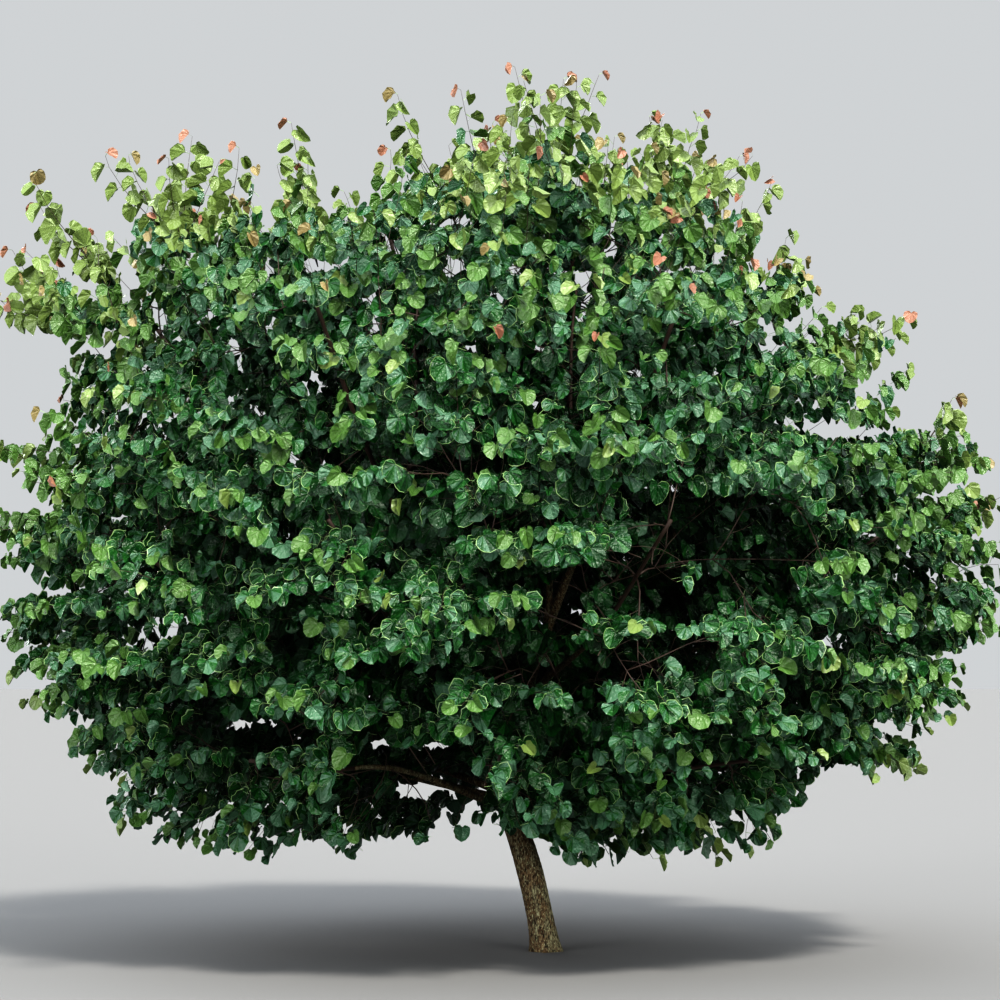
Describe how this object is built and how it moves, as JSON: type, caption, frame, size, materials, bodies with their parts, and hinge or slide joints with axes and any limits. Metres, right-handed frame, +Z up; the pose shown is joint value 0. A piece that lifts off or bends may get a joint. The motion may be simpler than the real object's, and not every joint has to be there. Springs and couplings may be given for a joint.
{
  "type": "redbud tree",
  "caption": "Small broadleaf garden tree in summer leaf: short leaning trunk, low fork, spreading boughs and a broad dome of heart-shaped leaves.",
  "frame": {"origin": "middle of the flat cut under the trunk, at ground level", "axes": "+Z up along the plumb line, +X to the right and -Y towards a viewer who faces the tree from the front"},
  "size_m": [5.195, 4.9789, 4.3658],
  "materials": {
    "bark": "rough, flaking, dark brown-grey",
    "leaves": "smooth waxy leaf green with paler rims"
  },
  "bodies": {
    "root": {"trunk": "bark", "bough_shoulder_right": "bark", "bough_shoulder_back_right": "bark", "bough_shoulder_back_left": "bark", "bough_shoulder_left": "bark", "bough_shoulder_front_left": "bark", "bough_shoulder_front_right": "bark", "bough_top_front_right": "bark", "bough_top_back_right": "bark", "bough_top_left": "bark", "bough_middle_right_back": "bark", "bough_middle_back_right": "bark", "bough_middle_back_left": "bark", "bough_middle_left_back": "bark", "bough_middle_left_front": "bark", "bough_middle_front_left": "bark", "bough_middle_front_right": "bark", "bough_middle_right_front": "bark", "bough_skirt_right": "bark", "bough_skirt_back_right": "bark", "bough_skirt_back": "bark", "bough_skirt_back_left": "bark", "bough_skirt_left": "bark", "bough_skirt_front_left": "bark", "bough_skirt_front": "bark", "bough_skirt_front_right": "bark", "foliage_shoulder_right": "leaves", "foliage_shoulder_back_right": "leaves", "foliage_shoulder_back_left": "leaves", "foliage_shoulder_left": "leaves", "foliage_shoulder_front_left": "leaves", "foliage_shoulder_front_right": "leaves", "foliage_top_front_right": "leaves", "foliage_top_back_right": "leaves", "foliage_top_left": "leaves", "foliage_middle_right_back": "leaves", "foliage_middle_back_right": "leaves", "foliage_middle_back_left": "leaves", "foliage_middle_left_back": "leaves", "foliage_middle_left_front": "leaves", "foliage_middle_front_left": "leaves", "foliage_middle_front_right": "leaves", "foliage_middle_right_front": "leaves", "foliage_skirt_right": "leaves", "foliage_skirt_back_right": "leaves", "foliage_skirt_back": "leaves", "foliage_skirt_back_left": "leaves", "foliage_skirt_left": "leaves", "foliage_skirt_front_left": "leaves", "foliage_skirt_front": "leaves", "foliage_skirt_front_right": "leaves"}
  },
  "joints": []
}
